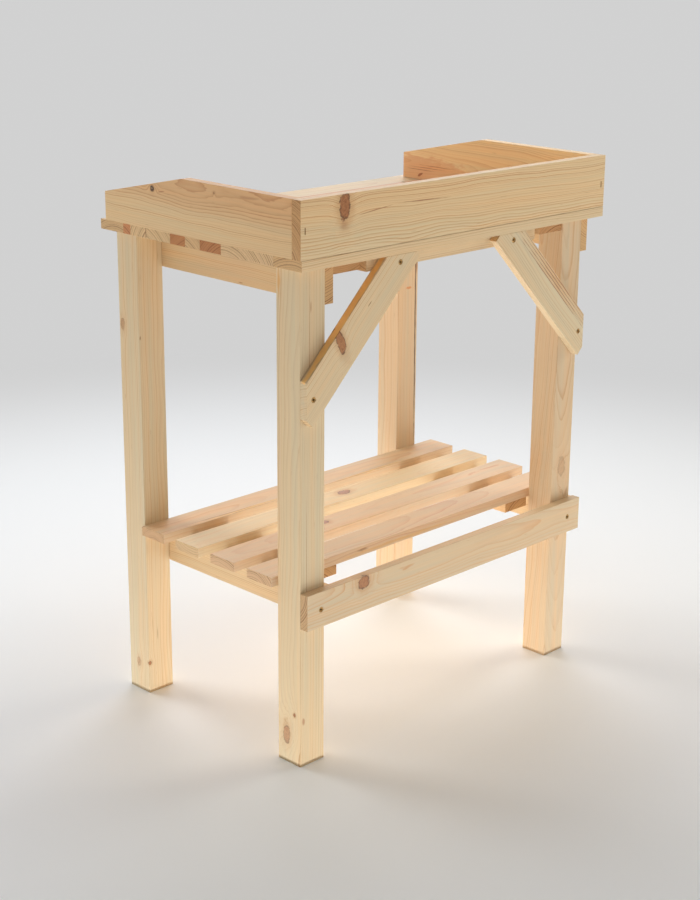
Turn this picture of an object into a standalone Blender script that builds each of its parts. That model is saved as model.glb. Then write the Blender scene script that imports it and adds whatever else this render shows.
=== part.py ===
"""A potting bench in planed pine: two end frames, a glued worktop with a low tray round it, a slatted
shelf, a back stretcher and two diagonal braces. Metres, +Z up, and the front faces -Y.

The origin is the middle of the bench's footprint, on the floor. Every board is its own object, and so
is every screw and staple, each in a hole cut for it.
"""

from math import pi, sqrt

import bmesh
import bpy
from mathutils import Vector

# Clearances and small details
GAP = 0.0003
BORE_CLEARANCE = 0.0003
EASED_EDGE = 0.0004

# The legs and the frame that they make, measured over their outer faces
LEG_SIDE = 0.045
LEG_HEIGHT = 0.711
FRAME_LENGTH = 0.586
FRAME_DEPTH = 0.382
FRAME_MIDDLE_X = 0.015
FRAME_MIDDLE_Y = 0.005

# The planed boards that the rest is cut from
BOARD_WIDTH = 0.052
RAIL_THICKNESS = 0.015
BRACE_THICKNESS = 0.013
STRETCHER_THICKNESS = 0.014
SLAT_WIDTH = 0.051
SLAT_THICKNESS = 0.0143
TRAY_THICKNESS = 0.016

# Heights above the floor
LOWER_RAIL_BASE = 0.2070
STRETCHER_BASE = 0.211
UPPER_RAIL_BASE = LEG_HEIGHT - BOARD_WIDTH

# The worktop, and how far it reaches past the legs on each side
PANEL_THICKNESS = 0.0145
PANEL_PAST_RIGHT = 0.0095
PANEL_PAST_LEFT = 0.0345
PANEL_PAST_FRONT = 0.024
PANEL_PAST_BACK = 0.014
BATTEN_SETBACK = 0.002
ANCHOR_HEIGHT = 0.019
ANCHOR_DEPTH = 0.045
ANCHOR_LENGTH = 0.353
ANCHOR_SHIFT = -0.0055

# The tray boards on the worktop
TRAY_HEIGHT = 0.078
TRAY_FRONT_HEIGHT = 0.041
TRAY_SLOPE_RUN = 0.170
TRAY_FRONT_SETBACK = 0.014
TRAY_PAST_PANEL_RIGHT = 0.0015
TRAY_PAST_PANEL_LEFT = 0.0005
TRAY_BACK_INSET = 0.0005

# The shelf
SLAT_COUNT = 4
SLAT_PITCH = 0.078
SLAT_PAST_RIGHT = 0.006
SLAT_LENGTH = 0.633
SHELF_BATTEN_RIGHT = 0.199
SHELF_BATTEN_LEFT = -0.225

# The diagonal braces: where the upper edge meets the leg, and the corners left by their square ends
BRACE_UPPER_EDGE_HEIGHT = 0.563
BRACE_FOOT_TIP = 0.011
BRACE_HEAD_TIP = 0.008
BRACE_SCREW_HEIGHTS = (0.5385, 0.7005)

# The stretcher runs past the left leg, and its screws are not quite over the legs' middles
STRETCHER_PAST_LEFT = 0.010
STRETCHER_SCREW_LEFT = 0.019
STRETCHER_SCREW_RIGHT = 0.026

# Screws: shank radius, head radius, head height, and the socket as a part of the head
WOOD_SCREW = (0.0020, 0.0039, 0.0024)
SMALL_SCREW = (0.0015, 0.0030, 0.0018)
HEAD_SUNK = 0.0005
SOCKET_PART = 0.36
SOCKET_DEPTH_PART = 0.6
SCREW_STEPS = 16
SCREW_TIP_RADII = 2
LONG_SCREW = 0.050
COMMON_SCREW = 0.040
ANCHOR_SCREW = 0.028
SHORT_SCREW = 0.020

# Where screws sit across the pieces that they hold
SIDE_RAIL_SCREW_INSET = 0.3
SIDE_RAIL_SCREW_LEVEL = 0.35
WORKTOP_SCREW_SHIFT = 0.009
BATTEN_SCREW_SPREAD = 0.3

# Staples
STAPLE_CROWN = 0.0084
STAPLE_WIRE = 0.0012
STAPLE_LENGTH = 0.030
STAPLE_SUNK = 0.0008
STAPLE_DROPS = {"left": 0.0045, "right": 0.001}

# Colours, as linear RGB, with roughness and metallic value
PINE = ((0.80, 0.58, 0.34, 1.0), 0.55, 0.0)
PALE_PINE = ((0.85, 0.68, 0.44, 1.0), 0.55, 0.0)
WARM_PINE = ((0.74, 0.50, 0.27, 1.0), 0.55, 0.0)
ZINC = ((0.35, 0.34, 0.32, 1.0), 0.38, 1.0)

# The planes that the pieces are placed against
RIGHT = FRAME_MIDDLE_X + FRAME_LENGTH / 2
LEFT = FRAME_MIDDLE_X - FRAME_LENGTH / 2
BACK = FRAME_MIDDLE_Y + FRAME_DEPTH / 2
FRONT = FRAME_MIDDLE_Y - FRAME_DEPTH / 2
RIGHT_RAIL_FACE = RIGHT - LEG_SIDE - GAP - RAIL_THICKNESS
LEFT_RAIL_FACE = LEFT - GAP - RAIL_THICKNESS
PANEL_BASE = LEG_HEIGHT + GAP
PANEL_TOP = PANEL_BASE + PANEL_THICKNESS
PANEL_RIGHT = RIGHT + PANEL_PAST_RIGHT
PANEL_LEFT = LEFT - PANEL_PAST_LEFT
PANEL_BACK = BACK + PANEL_PAST_BACK
PANEL_FRONT = FRONT - PANEL_PAST_FRONT
TRAY_BASE = PANEL_TOP + GAP
TRAY_RIGHT = PANEL_RIGHT + TRAY_PAST_PANEL_RIGHT
TRAY_LEFT = PANEL_LEFT - TRAY_PAST_PANEL_LEFT
TRAY_BACK = PANEL_BACK - TRAY_BACK_INSET
SLAT_BASE = LOWER_RAIL_BASE + BOARD_WIDTH + GAP
FIRST_SLAT_FRONT = FRONT + LEG_SIDE + GAP
LAST_SLAT_BACK = FIRST_SLAT_FRONT + (SLAT_COUNT - 1) * SLAT_PITCH + SLAT_WIDTH


def clear_scene():
    for item in list(bpy.data.objects):
        bpy.data.objects.remove(item)


def material(name, look):
    """The material of that name, made once."""
    found = bpy.data.materials.get(name)
    if found:
        return found
    colour, roughness, metallic = look
    made = bpy.data.materials.new(name)
    made.use_nodes = True
    surface = made.node_tree.nodes["Principled BSDF"]
    surface.inputs["Base Color"].default_value = colour
    surface.inputs["Roughness"].default_value = roughness
    surface.inputs["Metallic"].default_value = metallic
    made.diffuse_color = colour
    return made


def add_object(name, mesh_builder, look, location=(0, 0, 0)):
    """One object from a bmesh, with a material of its own."""
    mesh = bpy.data.meshes.new(name)
    bmesh.ops.recalc_face_normals(mesh_builder, faces=mesh_builder.faces)
    mesh_builder.to_mesh(mesh)
    mesh_builder.free()
    mesh.materials.append(material(name, look))
    made = bpy.data.objects.new(name, mesh)
    made.location = location
    bpy.context.scene.collection.objects.link(made)
    return made


def ease_edges(board):
    """Takes the sharp edge off, as a planer's rounding does."""
    bevel = board.modifiers.new("eased_edges", "BEVEL")
    bevel.width = EASED_EDGE
    bevel.segments = 2
    bevel.limit_method = "ANGLE"
    bevel.angle_limit = pi / 9


def add_board(name, x_range, y_range, z_range, look=PINE):
    """A straight board between two planes on each axis, its origin in its middle."""
    low, high = (Vector(ends) for ends in zip(x_range, y_range, z_range))
    builder = bmesh.new()
    bmesh.ops.create_cube(builder, size=1.0)
    bmesh.ops.scale(builder, vec=high - low, verts=builder.verts)
    board = add_object(name, builder, look, (low + high) / 2)
    ease_edges(board)
    return board


def add_outline_board(name, outline, axis, start, thickness, look=PINE):
    """A board sawn to an outline, standing across X or Y. The outline is in the other two coordinates."""
    builder = bmesh.new()
    corners = []
    for across, height in outline:
        place = (start, across, height) if axis == "X" else (across, start, height)
        corners.append(builder.verts.new(place))
    face = builder.faces.new(corners)
    pushed = bmesh.ops.extrude_face_region(builder, geom=[face])
    moved = [part for part in pushed["geom"] if isinstance(part, bmesh.types.BMVert)]
    direction = Vector((thickness, 0, 0)) if axis == "X" else Vector((0, thickness, 0))
    bmesh.ops.translate(builder, vec=direction, verts=moved)
    board = add_object(name, builder, look)
    ease_edges(board)
    return board


def lathe(profile, steps=SCREW_STEPS):
    """A closed body spun from (radius, depth) points, with depth along -Z and both ends on the axis."""
    builder = bmesh.new()
    points = [builder.verts.new((radius, 0, -depth)) for radius, depth in profile]
    edges = [builder.edges.new(pair) for pair in zip(points, points[1:])]
    bmesh.ops.spin(
        builder,
        geom=points + edges,
        cent=(0, 0, 0),
        axis=(0, 0, 1),
        angle=2 * pi,
        steps=steps,
        use_merge=True,
    )
    bmesh.ops.remove_doubles(builder, verts=builder.verts, dist=1e-6)
    return builder


def drive_in(piece, place, direction):
    """Puts a fastener's outer end at a place, pointing along a direction."""
    piece.location = place
    piece.rotation_mode = "QUATERNION"
    piece.rotation_quaternion = Vector(direction).to_track_quat("-Z", "X")


def bore(cutter, boards):
    """Cuts the fastener's hole in each board that it passes through or ends in."""
    cutter.hide_render = True
    cutter.display_type = "WIRE"
    for board in boards:
        cut = board.modifiers.new(cutter.name, "BOOLEAN")
        cut.operation = "DIFFERENCE"
        cut.object = cutter


def add_screw(name, place, direction, length, boards, size=WOOD_SCREW):
    """A countersunk screw with its head just under the surface at the place, and its hole."""
    shank, head, head_height = size
    socket = head * SOCKET_PART
    socket_floor = HEAD_SUNK + SOCKET_DEPTH_PART * head_height
    profile = (
        (0.0, socket_floor),
        (socket, socket_floor),
        (socket, HEAD_SUNK),
        (head, HEAD_SUNK),
        (shank, HEAD_SUNK + head_height),
        (shank, length - SCREW_TIP_RADII * shank),
        (0.0, length),
    )
    screw = add_object(name, lathe(profile), ZINC)
    drive_in(screw, place, direction)
    wide = head + BORE_CLEARANCE
    narrow = shank + BORE_CLEARANCE
    hole_profile = (
        (0.0, -head_height),
        (wide, -head_height),
        (wide, HEAD_SUNK),
        (narrow, HEAD_SUNK + head_height + BORE_CLEARANCE),
        (narrow, length + BORE_CLEARANCE),
        (0.0, length + BORE_CLEARANCE),
    )
    cutter = add_object(name + "_bore", lathe(hole_profile), ZINC)
    drive_in(cutter, place, direction)
    bore(cutter, boards)


def staple_body(crown, wire, top, arch, length):
    """A U in the XZ plane: a crown from the depth top to the depth arch, and legs down to the length."""
    half = crown / 2
    outline = (
        (-half, -top),
        (half, -top),
        (half, -length),
        (half - wire, -length),
        (half - wire, -arch),
        (wire - half, -arch),
        (wire - half, -length),
        (-half, -length),
    )
    builder = bmesh.new()
    face = builder.faces.new([builder.verts.new((x, -wire / 2, z)) for x, z in outline])
    pushed = bmesh.ops.extrude_face_region(builder, geom=[face])
    moved = [part for part in pushed["geom"] if isinstance(part, bmesh.types.BMVert)]
    bmesh.ops.translate(builder, vec=(0, wire, 0), verts=moved)
    return builder


def add_staple(name, place, direction, boards):
    """A staple with an upright crown, sunk a little below the surface, and its slots."""
    arch = STAPLE_SUNK + STAPLE_WIRE
    wire_body = staple_body(STAPLE_CROWN, STAPLE_WIRE, STAPLE_SUNK, arch, STAPLE_LENGTH)
    drive_in(add_object(name, wire_body, ZINC), place, direction)
    slot_body = staple_body(
        STAPLE_CROWN + 2 * BORE_CLEARANCE,
        STAPLE_WIRE + 2 * BORE_CLEARANCE,
        -STAPLE_SUNK,
        arch + BORE_CLEARANCE,
        STAPLE_LENGTH + BORE_CLEARANCE,
    )
    cutter = add_object(name + "_slot", slot_body, ZINC)
    drive_in(cutter, place, direction)
    bore(cutter, boards)


def add_legs():
    """The four legs, by name."""
    legs = {}
    for side, x_low in (("left", LEFT), ("right", RIGHT - LEG_SIDE)):
        for end, y_low in (("front", FRONT), ("back", BACK - LEG_SIDE)):
            name = f"leg_{end}_{side}"
            legs[name] = add_board(
                name, (x_low, x_low + LEG_SIDE), (y_low, y_low + LEG_SIDE), (0, LEG_HEIGHT), PALE_PINE
            )
    return legs


def add_side_rails(legs):
    """An upper and a lower rail on the left face of each pair of legs, one screw into each leg."""
    rails = {}
    for side, face in (("left", LEFT_RAIL_FACE), ("right", RIGHT_RAIL_FACE)):
        for level, base in (("lower", LOWER_RAIL_BASE), ("upper", UPPER_RAIL_BASE)):
            name = f"{level}_side_rail_{side}"
            rail = add_board(
                name, (face, face + RAIL_THICKNESS), (FRONT, BACK), (base, base + BOARD_WIDTH), WARM_PINE
            )
            rails[name] = rail
            inset = LEG_SIDE * SIDE_RAIL_SCREW_INSET
            for end, y in (("front", FRONT + inset), ("back", BACK - inset)):
                place = (face, y, base + BOARD_WIDTH * SIDE_RAIL_SCREW_LEVEL)
                leg = legs[f"leg_{end}_{side}"]
                add_screw(f"{name}_screw_{end}", place, (1, 0, 0), COMMON_SCREW, (rail, leg))
    return rails


def add_worktop(legs):
    """The glued panel, the two battens under it, and the strip that the braces are screwed to."""
    panel = add_board(
        "worktop_panel",
        (PANEL_LEFT, PANEL_RIGHT),
        (PANEL_FRONT, PANEL_BACK),
        (PANEL_BASE, PANEL_TOP),
        PALE_PINE,
    )
    batten_base = LEG_HEIGHT - SLAT_THICKNESS
    batten_lows = {"left": LEFT + LEG_SIDE + GAP, "right": RIGHT_RAIL_FACE - GAP - BOARD_WIDTH}
    for side, x_low in batten_lows.items():
        batten = add_board(
            f"worktop_batten_{side}",
            (x_low, x_low + BOARD_WIDTH),
            (FRONT + BATTEN_SETBACK, BACK - BATTEN_SETBACK),
            (batten_base, LEG_HEIGHT),
            WARM_PINE,
        )
        for end, sign in (("front", -1), ("back", 1)):
            y = FRAME_MIDDLE_Y + sign * BATTEN_SCREW_SPREAD * FRAME_DEPTH
            place = (x_low + BOARD_WIDTH / 2, y, batten_base)
            name = f"worktop_batten_{side}_screw_{end}"
            add_screw(name, place, (0, 0, 1), SHORT_SCREW, (batten, panel), SMALL_SCREW)
    anchor_middle = FRAME_MIDDLE_X + ANCHOR_SHIFT
    anchor_base = LEG_HEIGHT - ANCHOR_HEIGHT
    anchor = add_board(
        "brace_anchor_strip",
        (anchor_middle - ANCHOR_LENGTH / 2, anchor_middle + ANCHOR_LENGTH / 2),
        (BACK - ANCHOR_DEPTH, BACK),
        (anchor_base, LEG_HEIGHT),
        PINE,
    )
    place = (anchor_middle, BACK - ANCHOR_DEPTH / 2, anchor_base)
    add_screw("brace_anchor_screw", place, (0, 0, 1), ANCHOR_SCREW, (anchor, panel))
    for name, leg in legs.items():
        inward = -1 if leg.location.y > FRAME_MIDDLE_Y else 1
        place = (leg.location.x, leg.location.y + inward * WORKTOP_SCREW_SHIFT, PANEL_TOP)
        screw_name = name.replace("leg", "worktop_screw")
        add_screw(screw_name, place, (0, 0, -1), LONG_SCREW, (panel, leg))
    return panel, anchor


def add_tray(panel):
    """The upright board along the back and the two sloping side boards that meet it."""
    back_low = TRAY_BACK - TRAY_THICKNESS
    back_board = add_board(
        "tray_back_board",
        (TRAY_LEFT, TRAY_RIGHT),
        (back_low, TRAY_BACK),
        (TRAY_BASE, TRAY_BASE + TRAY_HEIGHT),
        PINE,
    )
    place = (0, TRAY_BACK - TRAY_THICKNESS / 2, PANEL_BASE)
    add_screw("tray_back_screw", place, (0, 0, 1), COMMON_SCREW, (panel, back_board))
    front = PANEL_FRONT + TRAY_FRONT_SETBACK
    outline = (
        (front, TRAY_BASE),
        (back_low - GAP, TRAY_BASE),
        (back_low - GAP, TRAY_BASE + TRAY_HEIGHT),
        (front + TRAY_SLOPE_RUN, TRAY_BASE + TRAY_HEIGHT),
        (front, TRAY_BASE + TRAY_FRONT_HEIGHT),
    )
    for side, x_low in (("left", TRAY_LEFT), ("right", TRAY_RIGHT - TRAY_THICKNESS)):
        board = add_outline_board(f"tray_side_board_{side}", outline, "X", x_low, TRAY_THICKNESS)
        x_middle = x_low + TRAY_THICKNESS / 2
        place = (x_middle, FRAME_MIDDLE_Y, PANEL_BASE)
        add_screw(f"tray_side_screw_{side}", place, (0, 0, 1), COMMON_SCREW, (panel, board))
        place = (x_middle, TRAY_BACK, TRAY_BASE + TRAY_HEIGHT / 2 - STAPLE_DROPS[side])
        add_staple(f"tray_staple_{side}", place, (0, -1, 0), (back_board, board))


def add_shelf():
    """Four slats along the bench on two battens, screwed together from below."""
    right_end = RIGHT + SLAT_PAST_RIGHT
    slats = []
    for index in range(SLAT_COUNT):
        y_low = FIRST_SLAT_FRONT + index * SLAT_PITCH
        slats.append(
            add_board(
                f"shelf_slat_{index + 1}",
                (right_end - SLAT_LENGTH, right_end),
                (y_low, y_low + SLAT_WIDTH),
                (SLAT_BASE, SLAT_BASE + SLAT_THICKNESS),
            )
        )
    batten_top = SLAT_BASE - GAP
    batten_front = FIRST_SLAT_FRONT + BATTEN_SETBACK
    for side, middle in (("left", SHELF_BATTEN_LEFT), ("right", SHELF_BATTEN_RIGHT)):
        x_middle = FRAME_MIDDLE_X + middle
        batten = add_board(
            f"shelf_batten_{side}",
            (x_middle - SLAT_WIDTH / 2, x_middle + SLAT_WIDTH / 2),
            (batten_front, LAST_SLAT_BACK),
            (batten_top - SLAT_THICKNESS, batten_top),
            WARM_PINE,
        )
        for index, slat in enumerate(slats):
            place = (x_middle, slat.location.y, batten_top - SLAT_THICKNESS)
            name = f"shelf_{side}_screw_{index + 1}"
            add_screw(name, place, (0, 0, 1), SHORT_SCREW, (batten, slat), SMALL_SCREW)


def add_stretcher(legs):
    """The board across the two back legs, low down on their outer faces."""
    face = BACK + GAP + STRETCHER_THICKNESS
    stretcher = add_board(
        "back_stretcher",
        (LEFT - STRETCHER_PAST_LEFT, RIGHT),
        (BACK + GAP, face),
        (STRETCHER_BASE, STRETCHER_BASE + BOARD_WIDTH),
    )
    for side, x in (("left", LEFT + STRETCHER_SCREW_LEFT), ("right", RIGHT - STRETCHER_SCREW_RIGHT)):
        place = (x, face, STRETCHER_BASE + BOARD_WIDTH / 2)
        leg = legs[f"leg_back_{side}"]
        add_screw(f"back_stretcher_screw_{side}", place, (0, -1, 0), COMMON_SCREW, (stretcher, leg))


def add_braces(legs, anchor):
    """A brace at 45 degrees from each back leg up to the strip under the worktop."""
    half = FRAME_LENGTH / 2
    upper_sum = half + BRACE_UPPER_EDGE_HEIGHT
    lower_sum = upper_sum - BOARD_WIDTH * sqrt(2)
    foot_x = half - BRACE_FOOT_TIP
    foot_height = lower_sum - foot_x
    head_height = LEG_HEIGHT - BRACE_HEAD_TIP
    head_x = lower_sum - head_height
    outline = (
        (half, BRACE_UPPER_EDGE_HEIGHT),
        (upper_sum - LEG_HEIGHT, LEG_HEIGHT),
        (head_x + BRACE_HEAD_TIP, LEG_HEIGHT),
        (head_x, head_height),
        (foot_x, foot_height),
        (half, foot_height + BRACE_FOOT_TIP),
    )
    middle_sum = (upper_sum + lower_sum) / 2
    face = BACK + GAP + BRACE_THICKNESS
    for side, sign in (("left", -1), ("right", 1)):
        placed = [(FRAME_MIDDLE_X + sign * across, height) for across, height in outline]
        brace = add_outline_board(f"diagonal_brace_{side}", placed, "Y", BACK + GAP, BRACE_THICKNESS)
        ends = zip(("foot", "head"), BRACE_SCREW_HEIGHTS, (legs[f"leg_back_{side}"], anchor))
        for end, height, held in ends:
            place = (FRAME_MIDDLE_X + sign * (middle_sum - height), face, height)
            add_screw(f"diagonal_brace_{side}_screw_{end}", place, (0, -1, 0), COMMON_SCREW, (brace, held))


def build():
    clear_scene()
    legs = add_legs()
    add_side_rails(legs)
    panel, anchor = add_worktop(legs)
    add_tray(panel)
    add_shelf()
    add_stretcher(legs)
    add_braces(legs, anchor)


build()
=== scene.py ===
from math import cos, pi, radians, sin

import bmesh
import bpy
from mathutils import Matrix, Vector


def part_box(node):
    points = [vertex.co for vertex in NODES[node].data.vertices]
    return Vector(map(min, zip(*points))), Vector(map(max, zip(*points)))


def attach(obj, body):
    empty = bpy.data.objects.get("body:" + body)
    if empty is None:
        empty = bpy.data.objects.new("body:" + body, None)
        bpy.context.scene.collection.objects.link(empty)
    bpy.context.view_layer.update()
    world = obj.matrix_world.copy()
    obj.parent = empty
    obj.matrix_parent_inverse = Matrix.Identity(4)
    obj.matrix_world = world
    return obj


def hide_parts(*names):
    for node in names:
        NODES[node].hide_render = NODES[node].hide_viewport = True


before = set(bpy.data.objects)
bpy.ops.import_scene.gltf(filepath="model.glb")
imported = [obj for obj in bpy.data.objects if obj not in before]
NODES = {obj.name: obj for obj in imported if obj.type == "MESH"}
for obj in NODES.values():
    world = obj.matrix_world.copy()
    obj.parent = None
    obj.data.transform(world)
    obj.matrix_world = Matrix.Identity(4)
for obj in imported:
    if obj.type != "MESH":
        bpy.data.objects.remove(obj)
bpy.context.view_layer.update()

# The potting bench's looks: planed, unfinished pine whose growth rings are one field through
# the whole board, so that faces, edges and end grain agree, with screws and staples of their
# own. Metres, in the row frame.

HALF = (0.5, 0.5, 0.5)


def srgb(red, green, blue):
    """Linear RGBA from 0-255 display values."""
    linear = []
    for value in (red, green, blue):
        part = value / 255
        linear.append(part / 12.92 if part <= 0.04045 else ((part + 0.055) / 1.055) ** 2.4)
    return (*linear, 1.0)


# ---------------------------------------------------------------- node graphs


class Graph:
    """Makes nodes in one tree. An argument is a socket to link, or a plain value."""

    def __init__(self, tree):
        self.tree = tree

    def node(self, kind, values=None, **settings):
        made = self.tree.nodes.new(kind)
        for name, value in settings.items():
            setattr(made, name, value)
        for key, value in (values or {}).items():
            self.put(made.inputs[key], value)
        return made

    def put(self, socket, value):
        if isinstance(value, bpy.types.NodeSocket):
            self.tree.links.new(value, socket)
        elif value is not None:
            socket.default_value = value

    def math(self, operation, a, b=None, c=None):
        made = self.node("ShaderNodeMath", operation=operation)
        for socket, value in zip(made.inputs, (a, b, c)):
            self.put(socket, value)
        return made.outputs[0]

    def add(self, a, b):
        return self.math("ADD", a, b)

    def sub(self, a, b):
        return self.math("SUBTRACT", a, b)

    def mul(self, a, b):
        return self.math("MULTIPLY", a, b)

    def mad(self, a, b, c):
        return self.math("MULTIPLY_ADD", a, b, c)

    def vector(self, operation, a, b=None, c=None, scale=None):
        made = self.node("ShaderNodeVectorMath", operation=operation)
        for socket, value in zip(made.inputs, (a, b, c)):
            self.put(socket, value)
        if scale is not None:
            self.put(made.inputs["Scale"], scale)
        return made.outputs["Value" if operation in ("DOT_PRODUCT", "LENGTH") else "Vector"]

    def combine(self, x, y, z):
        return self.node("ShaderNodeCombineXYZ", {"X": x, "Y": y, "Z": z}).outputs[0]

    def separate(self, vector):
        return self.node("ShaderNodeSeparateXYZ", {"Vector": vector}).outputs

    def noise(self, vector, scale=1.0, detail=2.0, rough=0.5, colour=False):
        made = self.node(
            "ShaderNodeTexNoise",
            {"Vector": vector, "Scale": scale, "Detail": detail, "Roughness": rough},
            noise_dimensions="3D",
        )
        return made.outputs["Color" if colour else "Fac"]

    def steps(self, value, low, high, to_low=0.0, to_high=1.0, smooth=True):
        made = self.node(
            "ShaderNodeMapRange",
            {"Value": value, "From Min": low, "From Max": high, "To Min": to_low, "To Max": to_high},
            interpolation_type="SMOOTHSTEP" if smooth else "LINEAR",
        )
        return made.outputs["Result"]

    def mix(self, factor, a, b, blend="MIX"):
        made = self.node("ShaderNodeMix", data_type="RGBA", blend_type=blend, clamp_factor=True)
        for socket, value in zip((made.inputs[0], made.inputs[6], made.inputs[7]), (factor, a, b)):
            self.put(socket, value)
        return made.outputs[2]


def new_group(name, inputs, outputs):
    """A new node group: its graph, the sockets it is given, and the sockets it hands out."""
    tree = bpy.data.node_groups.new(name, "ShaderNodeTree")
    for label, kind in inputs:
        tree.interface.new_socket(label, in_out="INPUT", socket_type="NodeSocket" + kind)
    for label, kind in outputs:
        tree.interface.new_socket(label, in_out="OUTPUT", socket_type="NodeSocket" + kind)
    graph = Graph(tree)
    given = tree.nodes.new("NodeGroupInput").outputs
    out = tree.nodes.new("NodeGroupOutput").inputs
    return graph, given, out


# A knot's shape. Distances are in knot radii, noise scales in cycles per metre.
KNOT_OUTLINE_SCALE, KNOT_PUSH_FALL, KNOT_PUSH, KNOT_LIFT = 120.0, 0.42, 0.8, 0.9
KNOT_OUTSIDE, KNOT_INSIDE, HALO_OUTSIDE, HALO_INSIDE = 1.14, 0.80, 2.6, 0.9
RIM_INSIDE, RIM_MIDDLE, RIM_OUTSIDE = 0.74, 0.98, 1.18
RIM_GAP_SCALE, RIM_GAP_RANGE = 150.0, (0.24, 0.52)
KNOT_RADIANS_PER_METRE, KNOT_YEAR_STRENGTH = 3600.0, 0.20


def knot_group():
    """One branch through a board. It pushes the grain aside, lifts the rings, and is a dark
    disc itself."""
    graph, given, out = new_group(
        "knot",
        [
            ("Position", "Vector"),
            ("Grain", "Vector"),
            ("Bulge", "Float"),
            ("Knot", "Float"),
            ("Rim", "Float"),
            ("Halo", "Float"),
            ("Centre", "Vector"),
            ("Branch", "Vector"),
            ("Radius", "Float"),
            ("Long", "Float"),
            ("Dark", "Float"),
        ],
        [
            ("Grain", "Vector"),
            ("Bulge", "Float"),
            ("Knot", "Float"),
            ("Rim", "Float"),
            ("Halo", "Float"),
        ],
    )
    radius = given["Radius"]
    away = graph.vector("SUBTRACT", given["Position"], given["Centre"])
    along_branch = graph.vector("DOT_PRODUCT", away, given["Branch"])
    off = graph.vector("SUBTRACT", away, graph.vector("SCALE", given["Branch"], scale=along_branch))
    off_x, off_y, off_z = graph.separate(off)
    shrunk = graph.combine(graph.math("DIVIDE", off_x, given["Long"]), off_y, off_z)
    wobble = graph.sub(graph.noise(given["Position"], KNOT_OUTLINE_SCALE, 3.0, 0.6), 0.5)
    distance = graph.mad(wobble, radius, graph.vector("LENGTH", shrunk))
    near = graph.math("DIVIDE", distance, radius)
    fall = graph.math("POWER", graph.mul(near, KNOT_PUSH_FALL), 2.0)
    push = graph.math("EXPONENT", graph.mul(fall, -1.0))
    across = graph.combine(0.0, off_y, off_z)
    pushed = graph.vector("SCALE", across, scale=graph.mul(push, -KNOT_PUSH))
    graph.put(out["Grain"], graph.vector("ADD", given["Grain"], pushed))
    graph.put(out["Bulge"], graph.mad(graph.mul(push, KNOT_LIFT), radius, given["Bulge"]))
    disc = graph.steps(near, KNOT_OUTSIDE, KNOT_INSIDE)
    graph.put(out["Knot"], graph.math("MAXIMUM", given["Knot"], graph.mul(disc, given["Dark"])))
    rising = graph.steps(near, RIM_INSIDE, RIM_MIDDLE)
    rim = graph.mul(rising, graph.steps(near, RIM_OUTSIDE, RIM_MIDDLE))
    gaps = graph.noise(given["Position"], RIM_GAP_SCALE, 1.0)
    rim = graph.mul(rim, graph.steps(gaps, *RIM_GAP_RANGE))
    years = graph.math("SINE", graph.mul(distance, KNOT_RADIANS_PER_METRE))
    years = graph.mad(years, KNOT_YEAR_STRENGTH, KNOT_YEAR_STRENGTH)
    rim = graph.math("MAXIMUM", rim, graph.mul(disc, years))
    graph.put(out["Rim"], graph.math("MAXIMUM", given["Rim"], graph.mul(rim, given["Dark"])))
    halo = graph.mul(graph.steps(near, HALO_OUTSIDE, HALO_INSIDE), given["Dark"])
    graph.put(out["Halo"], graph.math("MAXIMUM", given["Halo"], halo))
    return graph.tree


MARK_OUTLINE_SCALE, MARK_RAGGEDNESS = (60.0, 240.0, 240.0), (0.9, 0.9, 0.9)


def mark_group():
    """A stain, streak or crack, and on one brace edge a painted highlight: a soft-edged
    ellipsoid with a ragged outline, in the board's own directions."""
    graph, given, out = new_group(
        "mark",
        [
            ("Position", "Vector"),
            ("Color", "Color"),
            ("Centre", "Vector"),
            ("Half Size", "Vector"),
            ("Lean", "Float"),
            ("Tint", "Color"),
            ("Strength", "Float"),
            ("Soft", "Float"),
        ],
        [("Color", "Color")],
    )
    x, y, z = graph.separate(graph.vector("SUBTRACT", given["Position"], given["Centre"]))
    leant = graph.combine(x, graph.mad(x, given["Lean"], y), z)
    place = graph.vector("MULTIPLY", given["Position"], MARK_OUTLINE_SCALE)
    wobble = graph.vector("SUBTRACT", graph.noise(place, 1.0, 3.0, colour=True), HALF)
    shape = graph.vector("DIVIDE", leant, given["Half Size"])
    shape = graph.vector("MULTIPLY_ADD", wobble, MARK_RAGGEDNESS, shape)
    inside = graph.steps(graph.vector("LENGTH", shape), 1.0, graph.sub(1.0, given["Soft"]))
    amount = graph.mul(inside, given["Strength"])
    graph.put(out["Color"], graph.mix(amount, given["Color"], given["Tint"]))
    return graph.tree


# Noise scales along the board, across it and through it, in cycles per metre
WANDER_SCALE, SLOW_WAVE_SCALE = (1.4, 1.0, 1.0), (7.0, 16.0, 16.0)
QUICK_WAVE_SCALE = (26.0, 130.0, 130.0)
FIBRE_SCALE, STREAK_SCALE = (14.0, 700.0, 700.0), (1.8, 85.0, 85.0)
PATCH_SCALE, TICK_SCALE = (2.2, 11.0, 11.0), (42.0, 520.0, 520.0)
PORE_SCALE, KNOT_TONE_SCALE, GROWTH_SCALE = 900.0, 260.0, 90.0

# How far the pith wanders and the rings wave, metres, and how uneven the years are, in rings
WANDER, SLOW_WAVE, QUICK_WAVE = (0.0, 0.020, 0.020), 0.0085, 0.0012
GROWTH_CHANGE = 3.4
LATEWOOD_START_SHARPNESS, LATEWOOD_PEAK, LATEWOOD_STOP = 4.0, 0.93, 0.94
END_RING_FACTOR, WIDEST_END_RING = 1.5, 0.0034
HEART_EDGE_HALF_WIDTH, HEART_EDGE_STEP = 0.0090, 0.0010

# How unlike the years are in strength, and how much streaks strengthen or weaken them
LATE_VARIATION, LATE_LEAST, STREAK_ON_FIGURE = 1.05, 0.30, 1.6

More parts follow.
